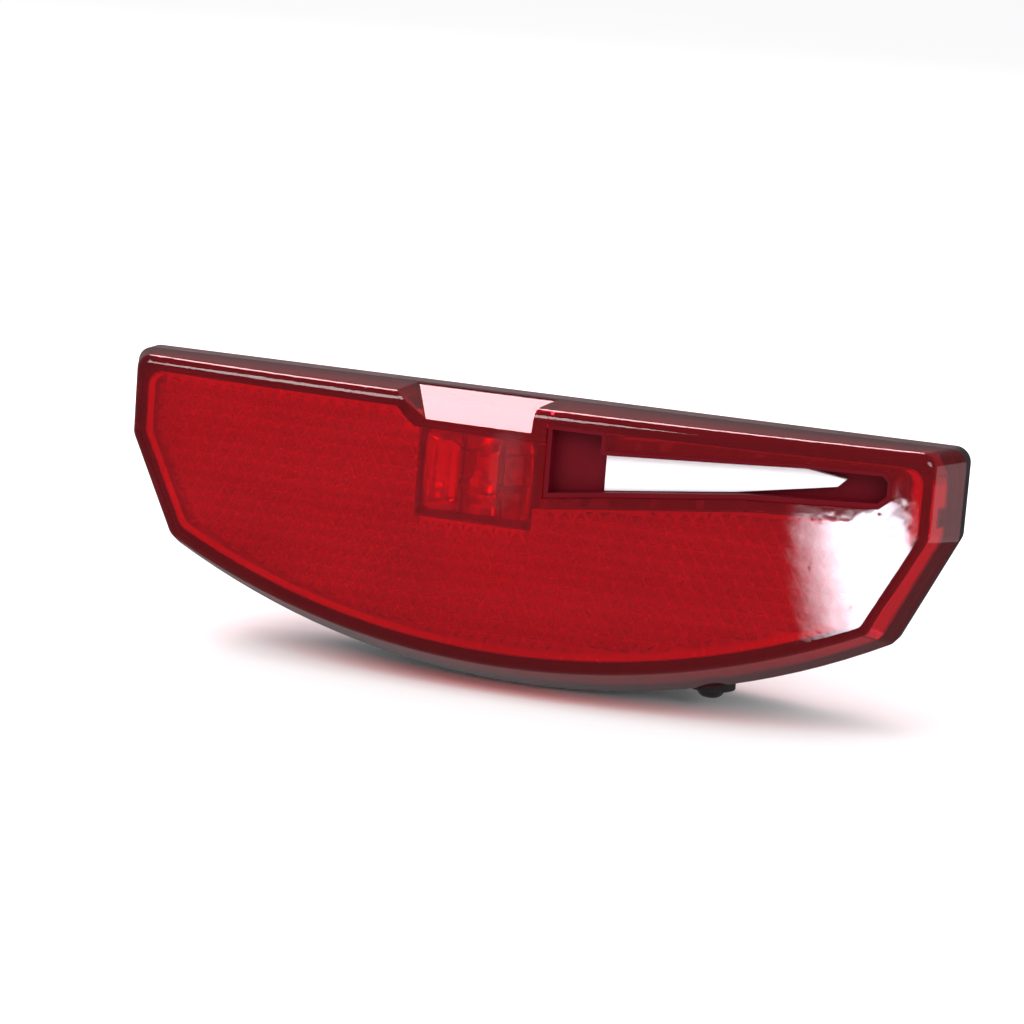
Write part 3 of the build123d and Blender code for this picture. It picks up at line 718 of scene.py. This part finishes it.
# --- rubber pad: rolled rim, shallow grip grooves on the rack side -----------
def build_pad():
    sh = Shell()
    W, H, R, T = 48.0, 7.7, 3.0, 1.5
    ROLL = [(0.42, 0.0), (0.2, -0.07), (0.06, -0.2), (0.0, -0.42)]
    prof = ROLL + [(i, -T - y) for i, y in reversed(ROLL)]

    def outline(inset, y):
        pts = []
        for cx, cz, a0 in ((W - R, H - R, 0), (R - W, H - R, 90),
                           (R - W, R - H, 180), (W - R, R - H, 270)):
            for k in range(9):
                a = math.radians(a0 + 90 * k / 8)
                pts.append((cx + (R - inset) * math.cos(a), y,
                            cz + (R - inset) * math.sin(a)))
        return pts

    def hole(cx, r, y):
        return [(cx + r * math.cos(2 * math.pi * k / 32), y,
                 r * math.sin(2 * math.pi * k / 32)) for k in range(32)]

    def groove(z, r, y):
        pts = []
        for cx, a0 in ((33.0, -90), (-33.0, 90)):
            for k in range(9):
                a = math.radians(a0 + 180 * k / 8)
                pts.append((cx + r * math.cos(a), y, z + r * math.sin(a)))
        return pts

    front, back = [outline(*prof[0])], [outline(*prof[-1])]
    v, f = loft_rings([outline(i, y) for i, y in prof], cap=False)
    sh.add(v, f)
    for cx in (-40.0, 40.0):
        rings = [hole(cx, 2.83 + 0.3 * i, y) for i, y in prof]
        v, f = loft_rings(rings, cap=False)
        sh.add(v, f)
        front.append(rings[0])
        back.append(rings[-1])
    for z in (-4.5, -1.5, 1.5, 4.5):
        rings = [groove(z, 0.72, 0.0), groove(z, 0.63, -0.06), groove(z, 0.55, -0.3)]
        v, f = loft_rings(rings, cap=False)
        f.append(tuple(2 * 18 + j for j in range(18)))
        sh.add(v, f)
        front.append(rings[0])
    for loops in (front, back):
        flat = [p for loop in loops for p in loop]
        tris = tessellate_polygon([[Vector(p) for p in loop] for loop in loops])
        sh.add(flat, [tuple(t) for t in tris])
    o = sh.make("grooved_pad", M["rubber"])
    bm = bmesh.new()
    bm.from_mesh(o.data)
    bmesh.ops.remove_doubles(bm, verts=bm.verts, dist=1e-6)
    bmesh.ops.recalc_face_normals(bm, faces=bm.faces)
    bm.to_mesh(o.data)
    bm.free()
    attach(o, "housing")
    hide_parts("mounting_pad")
    return o


build_pad()

# ---------------------------------------------------------------------------
# stage: floor, world, lights, camera
# ---------------------------------------------------------------------------
scene = bpy.context.scene
lo = Vector(cad_box[0]); hi = Vector(cad_box[1])
AZ, EL, ROLL, DIST = math.radians(17.66), math.radians(10.93), math.radians(4.40), 0.484
target = Vector((0.0, -0.031, 0.0))
back = Vector((math.sin(AZ) * math.cos(EL), -math.cos(AZ) * math.cos(EL), math.sin(EL)))
right = Vector((math.cos(AZ), math.sin(AZ), 0.0))
up = back.cross(right)
r2 = right * math.cos(ROLL) + up * math.sin(ROLL)
u2 = up * math.cos(ROLL) - right * math.sin(ROLL)
cam_data = bpy.data.cameras.new("camera")
cam_data.lens = 125.0
cam_data.sensor_width = 36.0
cam_data.clip_start = 0.01
cam_data.clip_end = 20.0
cam = bpy.data.objects.new("camera", cam_data)
scene.collection.objects.link(cam)
loc = target + back * DIST
cam.matrix_world = Matrix((
    (r2.x, u2.x, back.x, loc.x),
    (r2.y, u2.y, back.y, loc.y),
    (r2.z, u2.z, back.z, loc.z),
    (0, 0, 0, 1)))
scene.camera = cam


def grid_plane(name, size, z, n=2):
    me = bpy.data.meshes.new(name)
    s = size / 2
    me.from_pydata([(-s, -s, z), (s, -s, z), (s, s, z), (-s, s, z)], [], [(0, 1, 2, 3)])
    o = bpy.data.objects.new(name, me)
    scene.collection.objects.link(o)
    return o


floor = grid_plane("floor", 8.0, lo.z - 0.0004)
fm, nt = new_mat("pale_floor")
g = G(nt)
v = g.coord(1.0)
fcol = g.mix(g.noise(v, 3.0, 2.0), (0.90, 0.90, 0.91), (0.88, 0.88, 0.89))
fb = g.n("ShaderNodeBsdfPrincipled", {"Base Color": fcol, "Roughness": 0.6,
                                      "Specular IOR Level": 0.0})
# the underside lets the camera through, so the lamp can be seen from below
f_geo = g.n("ShaderNodeNewGeometry")
f_tr = g.n("ShaderNodeBsdfTransparent", {"Color": (1.0, 1.0, 1.0)})
f_mix = g.n("ShaderNodeMixShader", {0: f_geo.outputs["Backfacing"], 1: fb.outputs[0],
                                    2: f_tr.outputs[0]})
g.out(f_mix.outputs[0])
floor.data.materials.append(fm)
floor.visible_glossy = False

world = bpy.data.worlds.new("studio")
scene.world = world
world.use_nodes = True
nt = world.node_tree
for n in list(nt.nodes):
    nt.nodes.remove(n)
g = G(nt)
lp = g.n("ShaderNodeLightPath")
bg_cam = g.n("ShaderNodeBackground", {"Color": (1.0, 1.0, 1.0), "Strength": 1.0})
bg_gls = g.n("ShaderNodeBackground", {"Color": (0.75, 0.72, 0.74), "Strength": 0.22})
bg_dif = g.n("ShaderNodeBackground", {"Color": (1.0, 1.0, 1.0), "Strength": 1.05})
m1 = g.n("ShaderNodeMixShader", {0: lp.outputs["Is Glossy Ray"], 1: bg_dif.outputs[0],
                                 2: bg_gls.outputs[0]})
m2 = g.n("ShaderNodeMixShader", {0: lp.outputs["Is Camera Ray"], 1: m1.outputs[0],
                                 2: bg_cam.outputs[0]})
wo = g.n("ShaderNodeOutputWorld")
nt.links.new(m2.outputs[0], wo.inputs["Surface"])


def area(name, loc, aim, sx, sy, power, color=(1, 1, 1)):
    d = bpy.data.lights.new(name, "AREA")
    d.shape = "RECTANGLE"
    d.size, d.size_y = sx, sy
    d.energy = power
    d.color = color
    o = bpy.data.objects.new(name, d)
    scene.collection.objects.link(o)
    o.location = loc
    dirv = Vector(aim) - Vector(loc)
    o.rotation_euler = dirv.to_track_quat("-Z", "Y").to_euler()
    return o


area("key_softbox", (-0.45, -0.75, 0.70), (0, -0.03, 0), 0.55, 0.45, 6.5)
area("fill_softbox", (0.75, -0.55, 0.45), (0, -0.03, 0), 0.40, 0.50, 3.5)
area("top_softbox", (-0.35, 0.75, 0.80), (0, -0.03, 0), 0.60, 0.45, 8.6, (1.0, 0.60, 0.64))


# a slim strip light that only shows as a reflection on the right wing
def face_normal(x):
    n = Vector((x / math.sqrt((FR) ** 2 - x * x), -1.0, 0.0))
    return n.normalized()


CARD = [(37.6, 4.5), (53.6, 7.6), (54.3, 1.0), (51.0, -10.3), (41.6, -11.8)]
card_pts = []
for cx, cz in CARD:
    p = Vector((cx, front_y(cx), cz)) * MM
    n = face_normal(cx)
    v = (loc - p).normalized()
    r = 2 * n.dot(v) * n - v
    card_pts.append(p + r * 0.9)
me = bpy.data.meshes.new("reflection_card")
me.from_pydata([tuple(p) for p in card_pts], [], [tuple(range(len(card_pts)))])
card = bpy.data.objects.new("reflection_card", me)
scene.collection.objects.link(card)
cm, nt = new_mat("card_glow")
g = G(nt)
em = g.n("ShaderNodeEmission", {"Color": (0.90, 0.90, 1.0), "Strength": 37.0})
dark = g.n("ShaderNodeBsdfTransparent", {"Color": (1.0, 1.0, 1.0)})
tc = g.n("ShaderNodeTexCoord")
pos = g.n("ShaderNodeSeparateXYZ", {"Vector": tc.outputs["Object"]})
ax0, ax1 = card_pts[0], card_pts[4]
# soft left edge: distance from the line between the two left corners
ex = (ax1 - ax0).normalized()
nrm_c = (card_pts[1] - card_pts[0]).cross(card_pts[4] - card_pts[0]).normalized()
inw = nrm_c.cross(ex).normalized()
if inw.dot(card_pts[2] - ax0) < 0:
    inw = -inw
wd = inw.dot(card_pts[2] - ax0)
dotn = g.n("ShaderNodeVectorMath", {0: tc.outputs["Object"], 1: tuple(inw)}, operation="DOT_PRODUCT")
fade = g.rng(dotn.outputs["Value"], inw.dot(ax0), inw.dot(ax0) + wd * 0.50, 0.0, 1.0)
fade = g.math("POWER", fade, 1.6)
mxs = g.n("ShaderNodeMixShader", {0: fade, 1: dark.outputs[0], 2: em.outputs[0]})
g.out(mxs.outputs[0])
card.data.materials.append(cm)
card.visible_camera = False
card.visible_diffuse = False
card.visible_shadow = False
card.visible_transmission = False
card.visible_volume_scatter = False

# a narrow soft strip, seen as an upright streak over the centre block
STRIP = [(-3.4, 11.6), (1.6, 12.0), (1.8, 2.2), (-2.8, 2.0)]
strip_pts = []
for cx, cz in STRIP:
    p = Vector((cx, front_y(cx), cz)) * MM
    n = face_normal(cx)
    v = (loc - p).normalized()
    strip_pts.append(p + (2 * n.dot(v) * n - v) * 0.7)
me = bpy.data.meshes.new("reflection_strip")
me.from_pydata([tuple(p) for p in strip_pts], [], [(0, 1, 2, 3)])
strip = bpy.data.objects.new("reflection_strip", me)
scene.collection.objects.link(strip)
tm, nt = new_mat("strip_glow")
g = G(nt)
mid = (strip_pts[0] + strip_pts[1] + strip_pts[2] + strip_pts[3]) / 4
across = (strip_pts[1] - strip_pts[0]).normalized()
halfw = (strip_pts[1] - strip_pts[0]).length / 2
tcs = g.n("ShaderNodeTexCoord")
d_s = g.n("ShaderNodeVectorMath", {0: tcs.outputs["Object"], 1: tuple(across)},
          operation="DOT_PRODUCT")
off_s = g.math("ABSOLUTE", g.math("SUBTRACT", d_s.outputs["Value"], across.dot(mid)))
f_s = g.rng(off_s, 0.0, halfw, 1.0, 0.0)
te = g.n("ShaderNodeEmission", {"Color": (1.0, 0.78, 0.83), "Strength": 1.1})
tt = g.n("ShaderNodeBsdfTransparent", {"Color": (1.0, 1.0, 1.0)})
tx = g.n("ShaderNodeMixShader", {0: f_s, 1: tt.outputs[0], 2: te.outputs[0]})
g.out(tx.outputs[0])
strip.data.materials.append(tm)
strip.visible_camera = False
strip.visible_diffuse = False
strip.visible_shadow = False
strip.visible_transmission = False

# a pale panel out to the right, seen only in the end wall of the lens
wall_p = Vector((58.5, -27.0, 0.0)) * MM
wall_n = Vector((math.cos(math.radians(23)), -math.sin(math.radians(23)), 0.0))
wv = (loc - wall_p).normalized()
wr = (2 * wall_n.dot(wv) * wall_n - wv).normalized()
side_c = wall_p + wr * 0.6
sx_ = wr.cross(Vector((0, 0, 1))).normalized()
sz_ = sx_.cross(wr).normalized()
me = bpy.data.meshes.new("side_card")
me.from_pydata([tuple(side_c + sx_ * (a * 0.09) + sz_ * (b * 0.22))
                for a, b in ((-1, -1), (1, -1), (1, 1), (-1, 1))], [], [(0, 1, 2, 3)])
side_card = bpy.data.objects.new("side_card", me)
scene.collection.objects.link(side_card)
sm, nt = new_mat("side_card_glow")
g = G(nt)
sc_n = g.noise(g.coord(1.0), 2.0, 2.0)
se = g.n("ShaderNodeEmission", {"Color": g.mix(sc_n, (1.0, 0.94, 0.96), (0.96, 0.92, 0.98)),
                                "Strength": 1.0})
g.out(se.outputs[0])
side_card.data.materials.append(sm)
side_card.visible_camera = False
side_card.visible_diffuse = False
side_card.visible_shadow = False
side_card.visible_transmission = False

scene.view_settings.view_transform = "Standard"
scene.cycles.max_bounces = 16
scene.cycles.transmission_bounces = 12
scene.cycles.glossy_bounces = 6
scene.cycles.transparent_max_bounces = 16
scene.cycles.caustics_refractive = False
scene.cycles.caustics_reflective = False
scene.cycles.use_denoising = True
